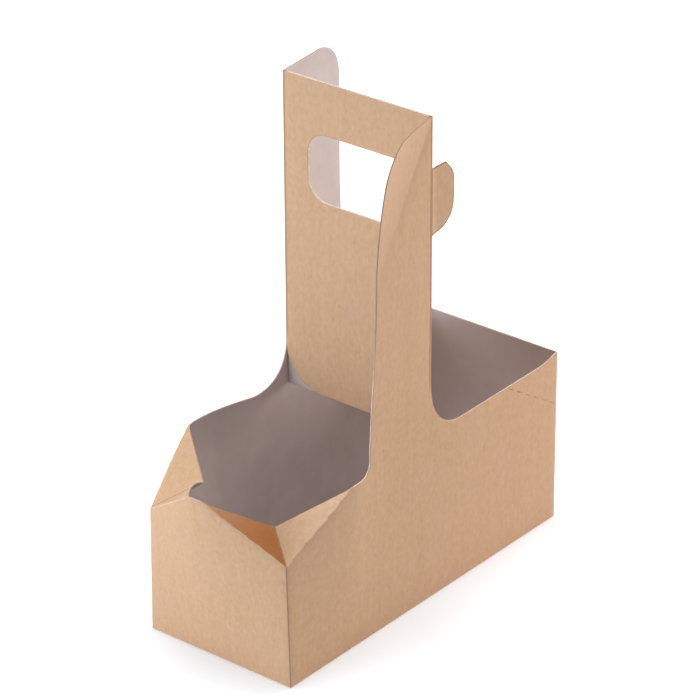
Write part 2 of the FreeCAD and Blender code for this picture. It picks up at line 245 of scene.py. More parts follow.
# Where the near tucked corner's painted light grows: painted shade across the box on its end face, and a
# painted highlight up on its side face, where that highlight reaches this share.
PAINTED_SHADE_ACROSS = (0.014, -0.024)
PAINTED_LIGHT_UP = (0.058, 0.074)
PAINTED_LIGHT_MOST = 0.4

# Where the near tongue's painted light lies: in front of this distance across, a painted highlight about the
# curl line, and painted shade within this distance of it and up between these heights.
NEAR_FACE = -0.036
CURL_LINE = (-0.0006, 0.0008)
CURL_SHADE = 0.011
CURL_SHADE_UP = (0.15, 0.217)

# Where the painted shade line along the handle's folds lies: across the box, along it to either side, and
# up.
FOLD_ACROSS = (0.0366, 0.0376)
FOLD_REACH = 0.0013
FOLD_UP = (0.095, 0.105)

# Where cut edges get painted shade: further than this from the middle plane, growing up between these
# heights.
SHADED_EDGE_ACROSS = 0.0366
SHADED_EDGE_UP = (0.11, 0.15)

# The floor: half its width, how far it lies below the board, its glow, what the camera sees besides near
# the object, and the distances between which that grows to white. Then the light from all round.
FLOOR_HALF = 4
FLOOR_DROP = 0.0003
FLOOR_GLOW = 0.3
FLOOR_NEAR = 0.08
FLOOR_FADE = (0.15, 0.8)
AMBIENT = (0.1, 0.1, 0.1)

# Studio lights: name, place, power in watts and tint. All have one size and look at one point.
LIGHT_SIZE = 0.6
LIGHT_AIM = (0.0, 0.0, 0.08)
STUDIO_LIGHTS = (
    ("top light", (0.0, 0.0, 1.2), 8.9, (0.92, 0.97, 1.0)),
    ("left light", (-0.55, 0.35, 0.12), 4.3, (0.84, 0.92, 1.0)),
    ("front light", (0.75, -0.50, 0.16), 5.5, (1.0, 0.91, 0.84)),
    ("right light", (1.1, 0.0, 0.4), 4.5, (1.0, 0.98, 0.95)),
    ("back light", (0.2, 1.0, 0.9), 1.6, (1.0, 1.0, 1.0)),
)

# The photograph's view: the camera's place and aim, tilt in degrees, and lens and sensor in millimetres.
CAMERA_PLACE = (-1.0482, -0.8469, 0.7936)
CAMERA_AIM = (0.01915, 0.0196, 0.09153)
CAMERA_TILT = -0.275
CAMERA_LENS = 188.42
CAMERA_SENSOR = 36


def hermite(knots, x):
    """A smooth curve through knots of place, value and slope."""
    x = min(max(x, knots[0][0]), knots[-1][0])
    for (x0, y0, m0), (x1, y1, m1) in zip(knots, knots[1:]):
        if x <= x1:
            break
    span = x1 - x0
    t = (x - x0) / span
    return ((2 * t ** 3 - 3 * t ** 2 + 1) * y0 + (t ** 3 - 2 * t ** 2 + t) * span * m0
            + (3 * t ** 2 - 2 * t ** 3) * y1 + (t ** 3 - t ** 2) * span * m1)


def smooth(start, end, value):
    t = min(max((value - start) / (end - start), 0.0), 1.0)
    return t * t * (3 - 2 * t)


def steps_between(a, b, count):
    """Points from a up to, but not including, b."""
    return [a.lerp(b, index / count) for index in range(count)]


def outline(corners, step, edge_step):
    """A closed run of points through corners given as (across, up, radius), with arcs at the rounded ones.

    A fourth number sets how many steps the side after the corner has, where two panels share it, and a fifth
    entry gives that side's points for shares from 0 to 1, where it isn't straight.
    """
    places = [Vector(corner[:2]) for corner in corners]
    starts = []
    ends = []
    arcs = []
    for index, corner in enumerate(corners):
        here = places[index]
        before = (places[index - 1] - here).normalized()
        after = (places[(index + 1) % len(corners)] - here).normalized()
        radius = corner[2]
        if radius == 0:
            starts.append(here)
            ends.append(here)
            arcs.append([])
            continue
        half = before.angle(after) / 2
        reach = radius / math.tan(half)
        start = here + before * reach
        end = here + after * reach
        centre = here + (before + after).normalized() * (radius / math.sin(half))
        turn = math.pi - 2 * half
        count = max(3, round(radius * turn / edge_step))
        arm_a = start - centre
        arm_b = end - centre
        arc = []
        for number in range(1, count):
            share = number / count
            arm = (arm_a * math.sin((1 - share) * turn) + arm_b * math.sin(share * turn)) / math.sin(turn)
            arc.append(centre + arm)
        starts.append(start)
        ends.append(end)
        arcs.append([start] + arc)
    points = []
    for index in range(len(corners)):
        points += arcs[index]
        end = starts[(index + 1) % len(corners)]
        count = max(1, round((end - ends[index]).length / step))
        if len(corners[index]) > 3:
            count = corners[index][3]
        if len(corners[index]) > 4:
            points += [corners[index][4](number / count) for number in range(count)]
        else:
            points += steps_between(ends[index], end, count)
    return points


def inside(point, loops):
    """Whether a flat point lies within the outline and outside its holes."""
    odd = False
    for loop in loops:
        for a, b in zip(loop, loop[1:] + loop[:1]):
            if (a.y > point.y) != (b.y > point.y):
                if point.x < (b.x - a.x) * (point.y - a.y) / (b.y - a.y) + a.x:
                    odd = not odd
    return odd


def beside_edges(loops, inset):
    """Flat points just inside the outline and around the holes, to round folds and to shade edges finely."""
    rows = []
    for loop in loops:
        for before, point, after in zip(loop[-1:] + loop[:-1], loop, loop[1:] + loop[:1]):
            along = (after - before).normalized()
            inward = Vector((-along.y, along.x)) * inset
            rows.append(point + inward if inside(point + inward, loops) else point - inward)
    return rows


def flip_slivers(verts, faces):
    """Turn each sliver on a straight side, with the triangle behind it, into two sound triangles."""
    faces = [tuple(face) for face in faces]
    owner = {}

    def thin(a, b, c):
        return (verts[b] - verts[a]).cross(verts[c] - verts[a]) < SLIVER

    def put(index, face):
        faces[index] = face
        for start, end in zip(face, face[1:] + face[:1]):
            owner[start, end] = index

    for index, face in enumerate(faces):
        put(index, face)
    for index in list(range(len(faces))) * SLIVER_ROUNDS:
        if faces[index] is None or not thin(*faces[index]):
            continue
        a, b, c = faces[index]
        turned = ((a, b, c), (b, c, a), (c, a, b))
        start, end, apex = max(turned, key=lambda three: (verts[three[0]] - verts[three[1]]).length)
        other = owner.get((end, start))
        if other is None or faces[other] is None:
            faces[index] = None
            continue
        behind = next(corner for corner in faces[other] if corner not in (start, end))
        put(index, (start, behind, apex))
        put(other, (behind, end, apex))
    return [face for face in faces if face and not thin(*face)]


def flat_mesh(loops, step, rows):
    """Fill an outline and its holes with triangles: flat points and index triples."""

    def centre(face):
        return sum((verts[index] for index in face), Vector((0, 0))) / 3

    points = [point for loop in loops for point in loop]
    edges = []
    first = 0
    for loop in loops:
        edges += [(first + index, first + (index + 1) % len(loop)) for index in range(len(loop))]
        first += len(loop)
    tree = KDTree(len(points))
    for index, point in enumerate(points):
        tree.insert(point.to_3d(), index)
    tree.balance()
    for point in rows:
        if inside(point, loops) and tree.find(point.to_3d())[2] > INSET_CLEARANCE:
            points.append(point)
    low = Vector((min(p.x for p in loops[0]), min(p.y for p in loops[0])))
    high = Vector((max(p.x for p in loops[0]), max(p.y for p in loops[0])))
    rise = step * math.sqrt(3) / 2
    row = 0
    while low.y + row * rise < high.y:
        column = 0
        while low.x + column * step < high.x + step:
            point = Vector((low.x + (column - 0.5 * (row % 2)) * step, low.y + row * rise))
            if inside(point, loops) and tree.find(point.to_3d())[2] > step * GRID_CLEARANCE:
                points.append(point)
            column += 1
        row += 1
    verts, _, faces, _, _, _ = delaunay_2d_cdt(points, edges, [], 0, FLAT_MERGE)
    return verts, [face for face in flip_slivers(verts, faces) if inside(centre(face), loops)]


class Sheet:
    """Gathers the folded sheet's panels into one mesh, and knows where each panel's flat points lie."""

    def __init__(self, size):
        self.size = size
        self.bm = bmesh.new()
        self.panel = self.bm.faces.layers.int.new("panel")
        for name in MARKS:
            self.bm.verts.layers.float.new(name)
        self.kinds = []

    def add(self, corner_sets, shape, outward, kind="wall"):
        """Mesh a panel in the flat and put it in place. outward is a direction its kraft face looks in."""
        size = self.size
        loops = [outline(corners, size.mesh_step, size.edge_step) for corners in corner_sets]
        inset = size.tab_border if kind == "tab" else size.fold_round
        flat, faces = flat_mesh(loops, size.mesh_step, beside_edges(loops, inset))
        verts = [self.bm.verts.new(shape(point)) for point in flat]
        marks = self.bm.verts.layers.float
        # The near tucked corner's end face gets painted shade, and its side face gets a painted highlight in
        # the crease mark.
        for vert in verts:
            if kind == "deep tuck":
                vert[marks["deep"]] = smooth(*PAINTED_SHADE_ACROSS, vert.co.y)
            elif kind == "pale tuck":
                vert[marks["crease"]] = PAINTED_LIGHT_MOST * smooth(*PAINTED_LIGHT_UP, vert.co.z)
        made = []
        for face in faces:
            made.append(self.bm.faces.new([verts[index] for index in face]))
            made[-1][self.panel] = len(self.kinds)
            made[-1].normal_update()
        total = sum((face.normal * face.calc_area() for face in made), Vector())
        if total.dot(Vector(outward)) < 0:
            bmesh.ops.reverse_faces(self.bm, faces=made)
        self.kinds.append(kind)

    def wall_out(self, x, z, side):
        """Distance of a long wall's kraft face from the middle plane."""
        size = self.size
        knots = NEAR_TOP if side["facing"] < 0 else FAR_TOP
        top = hermite(knots, x)
        up = min(z / self.wall_top(x, side), 1.0)
        out = size.half_base + (top - size.half_base) * up
        if z > size.notch_height:
            out += (size.half_handle - top) * smooth(size.notch_height, size.notch_height + TONGUE_EASE, z)
        across = max(0.0, x * side["facing"])
        rise = min(max((z - size.lean_start) / (size.lean_end - size.lean_start), 0.0), 1.0)
        out += size.tongue_lean * rise * (2 - rise) * across / size.tongue_width
        if side["facing"] < 0:
            curl = across * math.sin(size.curl_angle) + (z - size.handle_height) * math.cos(size.curl_angle)
            curl = max(0.0, curl)
            out += size.curl_slope * curl + size.curl_bend * curl * curl
        return out

    def wall_top(self, x, side):
        """Height of a long wall's top or crease at a place along the box."""
        size = self.size
        share = min(max((x + size.half_length) / side["side_in"], 0.0), 1.0)
        return side["corner_up"] + (size.notch_height - side["corner_up"]) * share

    def wall(self, side):
        """The place of a flat point of a long wall or its tongue."""
        size = self.size

        def shape(flat):
            x, z = flat
            up = min(z / self.wall_top(x, side), 1.0)
            fade = 1 - smooth(-size.half_length, -size.half_length + TUCK_FADE, x)
            drop = side["side_drop"] * up * smooth(-size.half_length, -size.half_length + side["side_in"], x)
            drop *= 1 - smooth(*DROP_FADE, x)
            out = self.wall_out(x, z, side)
            return Vector((x - side["corner_out"] * up * fade, side["facing"] * out, z - drop))

        return shape

    def tucked_end(self, flat):
        """The place of a flat point of the end wall whose corners are pushed in."""
        size = self.size
        y, z = flat
        side = NEAR_SIDE if y < 0 else FAR_SIDE
        up = min(z / side["corner_up"], 1.0)
        top = hermite(NEAR_TOP if y < 0 else FAR_TOP, -size.half_length)
        width = size.half_base + (top - size.half_base) * up
        lean = hermite(END_TOP, y) * z / hermite(END_HEIGHT, y)
        return Vector((-size.half_length - lean, y * width / size.half_base, z))

    def straight_end(self, flat):
        """The place of a flat point of the upright end wall."""
        size = self.size
        y, z = flat
        width = self.wall_out(size.half_length, z, NEAR_SIDE)
        return Vector((size.half_length, y * width / size.half_base, z))


def perforation(start, end, depth, share):
    """A point of a perforated crease, which tears a little out of line from one cut dash to the next."""
    along = end - start
    step = (share * along.length / DASH_PITCH + TEAR_START) % 1.0
    reach = min(1.0, share * TEAR_GROWTH, (1 - share) * TEAR_GROWTH)
    aside = Vector((-along.y, along.x)).normalized()
    return start.lerp(end, share) + aside * (depth * reach * (0.5 - step))


def triangle_shape(corner, far, top, line, tip, bow):
    """Places points of the flat triangle corner-far-top between the crease line and the tip."""
    tip = Vector(tip)
    bow = Vector(bow)
    along = far - corner
    rise = top - corner
    area = along.cross(rise)

    def shape(flat):
        point = flat - corner
        reach = along.cross(point) / area
        share = 0.0
        if reach < 1 - APEX_CLEARANCE:
            share = min(max(point.cross(rise) / area / (1 - reach), 0.0), 1.0)
        swell = 4 * reach * (1 - reach) * share ** 3
        return line(share).lerp(tip, reach) + bow * swell

    return shape


def flat_triangle(base, left, right):
    """Corners of a triangle with these side lengths, its base along the first axis."""
    across = (left * left + base * base - right * right) / (2 * base)
    apex = Vector((across, math.sqrt(left * left - across * across)))
    return Vector((0.0, 0.0)), Vector((base, 0.0)), apex


def side_crease(size, side, share):
    """Flat points of the crease across a long wall's corner, from the box's corner up."""
    foot = Vector((-size.half_length, side["corner_up"]))
    notch = Vector((side["side_in"] - size.half_length, size.notch_height))
    return perforation(foot, notch, side["side_jag"], share)


def end_crease(size, side, share):
    """Flat points of the crease across the tucked end wall's corner, from the box's corner up."""
    corner = Vector((side["facing"] * size.half_base, side["corner_up"]))
    crest = Vector((side["facing"] * side["crest_in"], side["crest_up"]))
    return perforation(corner, crest, side["end_jag"], share)


def add_long_wall(sheet, side):
    """A long wall with its tongue."""
    size = sheet.size
    facing = side["facing"]
    end = size.half_length
    fold = -facing * size.ply_offset
    notch = size.notch_height
    top = size.handle_height
    corner = size.corner_height
    free = facing * size.tongue_width
    corners = [(-end, 0.0, 0.0, LENGTH_STEPS), (end, 0.0, 0.0, HEIGHT_STEPS), (end, corner, 0.0),
               (end - size.corner_land, corner + CORNER_RISE, CORNER_ROUND),
               (end - size.corner_land - size.corner_slope, notch, size.corner_ease)]
    if facing < 0:
        corners += [(fold, notch, size.fold_root, LOW_STEPS), (fold, size.hole_low, 0.0, TAB_STEPS),
                    (fold, size.hole_high, 0.0, TOP_STEPS), (fold, top, 0.0),
                    (free, top, size.tongue_corner), (free, notch, size.tongue_root)]
    else:
        corners += [(free, notch, size.tongue_root), (free, top, size.tongue_corner),
                    (fold, top, 0.0, LOW_STEPS + TAB_STEPS + TOP_STEPS), (fold, notch, size.fold_root)]
    corners += [(side["side_in"] - end, notch, 0.0, CREASE_STEPS,
                 lambda share: side_crease(size, side, 1 - share)),
                (-end, side["corner_up"], 0.0, CORNER_STEPS)]
    sheet.add([corners], sheet.wall(side), (0, facing, 0))


def add_plies(sheet):
    """The two layers of the handle, folded from the tongues, with the hand hole and the tab cut from it."""
    size = sheet.size
    notch = size.notch_height
    top = size.handle_height
    half = sheet.wall_out(0.0, size.hole_low, NEAR_SIDE)
    reach = 2 * half - size.board - size.ply_gap
    hole_near = half - size.hole_reach
    hole_far = half + size.hole_reach
    curve = size.hole_corner

    def rear(flat):
        return Vector((size.ply_offset, flat.x - half, flat.y))

    def front(flat):
        return Vector((-size.ply_offset, half - flat.x, flat.y))

    def tab(flat):
        back = size.tab_step * smooth(0.0, TAB_EASE, flat.x - size.ply_offset)
        return Vector((flat.x, back - half, flat.y))

    rear_loop = [(0.0, notch, size.fold_root), (reach, notch, 0.0), (reach, top, 0.0),
                 (0.0, top, 0.0, TOP_STEPS), (0.0, size.hole_high, 0.0), (hole_far, size.hole_high, curve),
                 (hole_far, size.hole_low, curve), (0.0, size.hole_low, 0.0, LOW_STEPS)]
    sheet.add([rear_loop], rear, (1, 0, 0))
    front_loop = [(0.0, notch, size.fold_root), (reach, notch, 0.0), (reach, top, 0.0),
                  (0.0, top, 0.0, LOW_STEPS + TAB_STEPS + TOP_STEPS)]
    hole = [(hole_near, size.hole_low, curve), (hole_far, size.hole_low, size.hole_tight),
            (hole_far, size.hole_high, size.hole_tight), (hole_near, size.hole_high, curve)]
    sheet.add([front_loop, hole], front, (-1, 0, 0))
    start = size.ply_offset
    low = size.hole_low
    high = size.hole_high
    far = size.tab_length
    tab_loop = [(start, low, 0.0), (start + TAB_NICK, low + TAB_NICK, TAB_SHARP)]
    tab_loop += [(share * far, low + up, radius * size.tab_low) for share, up, radius in TAB_LOW_CORNERS]
    share, down, radius = TAB_TOP_CORNER
    tab_loop += [(share * far, high - down, radius * size.tab_top)]
    share, down = TAB_APEX
    tab_loop += [(share * far, high - down, TAB_SHARP), (start, high, 0.0, TAB_STEPS)]
    sheet.add([tab_loop], tab, (0, -1, 0), "tab")


def add_ends(sheet):
    """The bottom and both end walls."""
    size = sheet.size
    end = size.half_length
    base = size.half_base
    corner = size.corner_height
    bottom = [(-end, -base, 0.0, LENGTH_STEPS), (end, -base, 0.0, WIDTH_STEPS),
              (end, base, 0.0, LENGTH_STEPS), (-end, base, 0.0, WIDTH_STEPS)]
    sheet.add([bottom], lambda flat: Vector((flat.x, flat.y, 0.0)), (0, 0, -1))
    straight = [(-base, 0.0, 0.0, WIDTH_STEPS), (base, 0.0, 0.0, HEIGHT_STEPS), (base, corner, 0.0),
                (-base, corner, 0.0, HEIGHT_STEPS)]
    sheet.add([straight], sheet.straight_end, (1, 0, 0))
    tucked = [(-base, 0.0, 0.0, WIDTH_STEPS), (base, 0.0, 0.0, CORNER_STEPS),
              (base, FAR_SIDE["corner_up"], 0.0, CREASE_STEPS,
               lambda share: end_crease(size, FAR_SIDE, share)),
              (FAR_SIDE["crest_in"], FAR_SIDE["crest_up"], 0.0),
              (-NEAR_SIDE["crest_in"], NEAR_SIDE["crest_up"], 0.0, CREASE_STEPS,
               lambda share: end_crease(size, NEAR_SIDE, 1 - share)),
              (-base, NEAR_SIDE["corner_up"], 0.0, CORNER_STEPS)]
    sheet.add([tucked], sheet.tucked_end, (-1, 0, 0))


def add_tucks(sheet, side):
    """The two triangles of a corner that is pushed in, between its creases."""
    size = sheet.size
    wall = sheet.wall(side)

    def end_line(share):
        return sheet.tucked_end(end_crease(size, side, share))

    def side_line(share):
        return wall(side_crease(size, side, share))

    tip = Vector(side["tip"])
    # The near corner's end face takes painted shade, and its side face takes a painted highlight.
    deep, pale = ("deep tuck", "pale tuck") if side["facing"] < 0 else ("tuck", "tuck")
    end_face = (end_line, side["bow"], (0, side["facing"], 1), deep)
    side_face = (side_line, (0, 0, 0), (-1, 0, 1), pale)
    for line, bow, outward, kind in (end_face, side_face):
        flat = flat_triangle((line(1) - line(0)).length, (tip - line(0)).length, (tip - line(1)).length)
        corners = [(flat[0].x, flat[0].y, 0.0, CREASE_STEPS), (flat[1].x, flat[1].y, 0.0),
                   (flat[2].x, flat[2].y, 0.0, RIDGE_STEPS)]
        sheet.add([corners], triangle_shape(flat[0], flat[1], flat[2], line, tip, bow), outward, kind)


def round_folds(sheet):
    """Mark creases, folds and cut edges, and draw each fold's points in as far as a rounded fold lies."""
    bm = sheet.bm
    crease, fold, cut, deep = (bm.verts.layers.float[name] for name in MARKS)
    turns = {}
    for edge in bm.edges:
        panels = [face[sheet.panel] for face in edge.link_faces]
        kinds = {sheet.kinds[panel].split()[-1] for panel in panels}
        if len(panels) == 1:
            for vert in edge.verts:
                vert[cut] = 1.0
                # The tab's cut edge is marked fully, as a painted shade border.
                if "tab" in kinds:
                    vert[fold] = 1.0
            continue
        if panels[0] == panels[1]:
            continue
        for vert in edge.verts:
            turns.setdefault(vert, []).append(edge.calc_face_angle_signed())
            # The painted shade is held lower on folds.
            vert[deep] = min(vert[deep], PAINTED_SHADE_AT_FOLDS)
            # Tucked corners' creases are marked pale: torn fibres of the perforation, partly a painted
            # highlight.
            if kinds == {"wall", "tuck"}:
                vert[crease] = 1.0 if vert.co.y > 0 else NEAR_CREASE
            else:
                # Folds with the tab are marked fully, as painted shade.
                vert[fold] = 1.0 if "tab" in kinds else WALL_FOLD
    bm.normal_update()
    reach = sheet.size.fold_round
    moves = {}
    for vert, found in turns.items():
        moves[vert] = vert.normal * -reach * math.tan(max(found, key=abs) / 4)
    for vert, move in moves.items():
        vert.co += move


def apply_modifiers(obj):
    """Turn an object's live modifiers into its mesh."""
    graph = bpy.context.evaluated_depsgraph_get()
    shown = obj.evaluated_get(graph)
    mesh = bpy.data.meshes.new_from_object(shown, preserve_all_data_layers=True, depsgraph=graph)
    old = obj.data
    obj.modifiers.clear()
    obj.data = mesh
    mesh.name = old.name
    bpy.data.meshes.remove(old)


def build_sheet(size, materials):
    """The whole folded sheet as one closed piece of board, its kraft face first among the materials."""
    sheet = Sheet(size)
    add_ends(sheet)
    for side in (NEAR_SIDE, FAR_SIDE):
        add_long_wall(sheet, side)
        add_tucks(sheet, side)
    add_plies(sheet)
    bm = sheet.bm
    bmesh.ops.remove_doubles(bm, verts=bm.verts, dist=PANEL_MERGE)
    round_folds(sheet)
    for face in bm.faces:
        face.smooth = True
    mesh = bpy.data.meshes.new("carrier_board")
    for material in materials:
        mesh.materials.append(material)
    bm.to_mesh(mesh)
    bm.free()
    obj = bpy.data.objects.new("carrier_board", mesh)
    bpy.context.scene.collection.objects.link(obj)
    solid = obj.modifiers.new("Board", "SOLIDIFY")
    solid.thickness = size.board
    solid.offset = -1
    solid.use_even_offset = True
    solid.thickness_clamp = 0
    solid.material_offset = 1
    solid.material_offset_rim = 2
    apply_modifiers(obj)
    return obj


def fill(tree, made, inputs):
    """Put values or links on a node's inputs."""
    for key, value in inputs.items():
        if isinstance(value, bpy.types.NodeSocket):
            tree.links.new(value, made.inputs[key])
        else:
            made.inputs[key].default_value = value


def node(tree, kind, inputs=None, **settings):
    """A new node with its settings and inputs."""
    made = tree.nodes.new(kind)
    for key, value in settings.items():
        setattr(made, key, value)
    fill(tree, made, inputs or {})
    return made


def sum_up(tree, operation, first, second=0.0):
    """One step of arithmetic."""
    return node(tree, "ShaderNodeMath", {0: first, 1: second}, operation=operation).outputs[0]


def weigh(tree, *parts):
    """The sum of values that are given with their weights."""
    total = 0.0
    for value, weight in parts:
        total = sum_up(tree, "ADD", total, sum_up(tree, "MULTIPLY", value, weight))
    return total


def mix(tree, factor, first, second, blend="MIX"):
    """One colour mixed into another. Plain colours are given as three numbers."""
    inputs = {0: factor}
    for key, value in ((6, first), (7, second)):
        inputs[key] = value if isinstance(value, bpy.types.NodeSocket) else (*value, 1.0)
    made = node(tree, "ShaderNodeMix", inputs, data_type="RGBA", blend_type=blend, clamp_result=True)
    return made.outputs[2]


def between(tree, value, low, high, to_low=0.0, to_high=1.0, kind="SMOOTHSTEP"):
    """A value's place between two limits, eased."""
    inputs = {"Value": value, "From Min": low, "From Max": high, "To Min": to_low, "To Max": to_high}
    return node(tree, "ShaderNodeMapRange", inputs, interpolation_type=kind, clamp=True).outputs[0]


def noise(tree, vector, scale, detail, rough=0.5):
    """A noise value about one half."""
    inputs = {"Vector": vector, "Scale": scale, "Detail": detail, "Roughness": rough}
    return node(tree, "ShaderNodeTexNoise", inputs).outputs[0]


def stretched(tree, vector, scale):
    """Coordinates drawn out along the sheet's grain."""
    inputs = {"Vector": vector, "Scale": scale}
    return node(tree, "ShaderNodeMapping", inputs, vector_type="POINT").outputs[0]


def fibre_group():
    """Fibres, clouds and flecks of pressed paper, whose grain runs up the walls."""
    tree = bpy.data.node_groups.new("Paper fibres", "ShaderNodeTree")
    for name in ("Fibres", "Clouds", "Flecks", "Height"):
        tree.interface.new_socket(name=name, in_out="OUTPUT", socket_type="NodeSocketFloat")
    place = node(tree, "ShaderNodeTexCoord").outputs["Object"]
    fine = noise(tree, stretched(tree, place, (1.0, 1.0, 0.4)), 1100.0, 3.0, 0.65)
    grain = noise(tree, stretched(tree, place, (1.0, 1.0, 0.75)), 520.0, 2.0, 0.6)
    long_fibres = noise(tree, stretched(tree, place, (1.0, 1.0, 0.045)), 420.0, 2.0, 0.5)
    clouds = noise(tree, place, 70.0, 4.0, 0.62)
    broad = noise(tree, place, 14.0, 2.0, 0.5)
    specks = noise(tree, stretched(tree, place, (1.0, 1.0, 0.4)), 900.0, 1.0, 0.4)
    fibres = weigh(tree, (fine, 0.35), (grain, 0.45), (long_fibres, 0.2))
    patches = weigh(tree, (clouds, 0.55), (broad, 0.45))
    result = node(tree, "NodeGroupOutput")
    tree.links.new(between(tree, fibres, 0.38, 0.62, kind="LINEAR"), result.inputs["Fibres"])
    tree.links.new(between(tree, patches, 0.36, 0.64, kind="LINEAR"), result.inputs["Clouds"])
    tree.links.new(between(tree, specks, 0.68, 0.78), result.inputs["Flecks"])
    tree.links.new(fibres, result.inputs["Height"])
    return tree


def new_material(name):
    """A node material, with its shader."""
    material = bpy.data.materials.new(name)
    material.use_nodes = True
    return material, material.node_tree, material.node_tree.nodes["Principled BSDF"]


def fibres_in(tree, group):
    """The fibre group inside a material."""
    made = node(tree, "ShaderNodeGroup")
    made.node_tree = group
    return made.outputs


def relief(tree, height, strength, distance):
    """A normal with fine relief."""
    inputs = {"Height": height, "Strength": strength, "Distance": distance}
    return node(tree, "ShaderNodeBump", inputs).outputs[0]


def handle_shades(tree, look, size, place, base):
    """The near tongue's pale curl line, a painted highlight partly standing for whitened flexed fibres; the
    painted shade beside it; and the painted shade line along the handle's folds.
    """
    axes = node(tree, "ShaderNodeSeparateXYZ", {0: place}).outputs
    across = sum_up(tree, "MULTIPLY", axes["X"], -math.sin(size.curl_angle))
    down = sum_up(tree, "SUBTRACT", axes["Z"], size.handle_height)
    curl = sum_up(tree, "ADD", across, sum_up(tree, "MULTIPLY", down, math.cos(size.curl_angle)))
    front = sum_up(tree, "LESS_THAN", axes["Y"], NEAR_FACE)
    # Painted highlight on the curled strip past the curl line, partly whitened flexed fibres.
    line = sum_up(tree, "MULTIPLY", between(tree, curl, *CURL_LINE, 0.0, 0.04), front)
    base = mix(tree, line, base, look.ridge)
    # Painted shade in the valley beside the curl line, growing towards the top.
    beside = sum_up(tree, "MULTIPLY", between(tree, curl, -CURL_SHADE, 0.0, 0.0, 0.2), front)
    beside = sum_up(tree, "MULTIPLY", beside, sum_up(tree, "LESS_THAN", curl, 0.0))
    beside = sum_up(tree, "MULTIPLY", beside, between(tree, axes["Z"], *CURL_SHADE_UP))
    base = mix(tree, beside, base, look.fold)
    # Painted shade line along the handle's folds, above the notch.
    fold_shade = between(tree, sum_up(tree, "ABSOLUTE", axes["Y"]), *FOLD_ACROSS, 0.0, 0.6)
    at_fold = sum_up(tree, "LESS_THAN", sum_up(tree, "ABSOLUTE", axes["X"]), FOLD_REACH)
    at_fold = sum_up(tree, "MULTIPLY", at_fold, between(tree, axes["Z"], *FOLD_UP))
    return mix(tree, sum_up(tree, "MULTIPLY", fold_shade, at_fold), base, look.fold)


def kraft_material(look, size, group):
    """Unbleached kraft paper: fibrous and cloudy, paler along creases (torn fibres, partly a painted
    highlight), darker along folds and cut edges. It has painted shade in the near tucked corner, on the
    tab's border and about the handle, and a painted highlight on the near tucked side face.
    """
    material, tree, shader = new_material("kraft_face")
    paper = fibres_in(tree, group)
    base = mix(tree, paper["Fibres"], look.kraft_dark, look.kraft_light)
    cloudy = mix(tree, paper["Clouds"], look.kraft_tan, look.kraft_pink)
    base = mix(tree, 0.55, base, cloudy)
    base = mix(tree, sum_up(tree, "MULTIPLY", paper["Flecks"], 0.2), base, look.fleck)
    marks = {name: node(tree, "ShaderNodeAttribute", attribute_name=name).outputs["Fac"] for name in MARKS}
    # Painted shade, multiplied in on the near tucked corner's end face.
    base = mix(tree, marks["deep"], base, look.kraft_painted_shade, "MULTIPLY")
    place = node(tree, "ShaderNodeTexCoord").outputs["Object"]
    # Pale nicks along creases: torn fibres, partly a painted highlight. The near tucked side face's painted
    # highlight comes through the same mark.
    nicks_and_highlight = between(tree, noise(tree, place, 240.0, 1.0), 0.42, 0.58, 0.35, 0.85)
    nicks_and_highlight = sum_up(tree, "MULTIPLY", nicks_and_highlight, between(tree, marks["crease"], 0.0, 0.9, kind="LINEAR"))
    base = mix(tree, nicks_and_highlight, base, look.ridge)
    # Scored folds darken; on the tab's edge and fold this darkening is painted shade.
    base = mix(tree, between(tree, marks["fold"], 0.0, WALL_FOLD, 0.0, 0.75), base, look.fold)
    # A thin darker band along cut edges.
    base = mix(tree, between(tree, marks["cut"], 0.3, 1.0, 0.0, 0.22), base, look.fold)
    base = handle_shades(tree, look, size, place, base)
    fill(tree, shader, {"Base Color": base, "Normal": relief(tree, paper["Height"], 0.25, 0.0002),
                        "Roughness": between(tree, paper["Fibres"], 0.0, 1.0, 0.62, 0.8),
                        "Specular IOR Level": 0.25, "Sheen Weight": 0.05})
    return material


def white_material(look, group):
    """The smoother white liner on the board's inside."""
    material, tree, shader = new_material("white_face")
    paper = fibres_in(tree, group)
    base = mix(tree, between(tree, paper["Clouds"], 0.0, 1.0, 0.0, 0.7), look.white_dark, look.white)
    base = mix(tree, sum_up(tree, "MULTIPLY", paper["Flecks"], 0.08), base, look.kraft_tan)
    fill(tree, shader, {"Base Color": base, "Normal": relief(tree, paper["Height"], 0.12, 0.0002),
                        "Roughness": 0.6, "Specular IOR Level": 0.3})
    return material


def edge_material(look, group):
    """The cut through the board, pale and fuzzy with its core showing in places, with painted shade on the
    upper cut edges of the tongues and the tab.
    """
    material, tree, shader = new_material("cut_edge")
    paper = fibres_in(tree, group)
    base = mix(tree, between(tree, paper["Fibres"], 0.2, 0.9, 0.0, 0.6), look.edge, look.edge_core)
    place = node(tree, "ShaderNodeTexCoord").outputs["Object"]
    axes = node(tree, "ShaderNodeSeparateXYZ", {0: place}).outputs
    # Painted shade on the tongues' and the tab's upper cut edges.
    outer = sum_up(tree, "GREATER_THAN", sum_up(tree, "ABSOLUTE", axes["Y"]), SHADED_EDGE_ACROSS)
    edge_shade = sum_up(tree, "MULTIPLY", between(tree, axes["Z"], *SHADED_EDGE_UP, 0.0, 0.75), outer)
    base = mix(tree, edge_shade, base, look.edge_painted_shade)
    fill(tree, shader, {"Base Color": base, "Normal": relief(tree, paper["Height"], 0.6, 0.0003),
                        "Roughness": 0.9, "Specular IOR Level": 0.1})
    return material


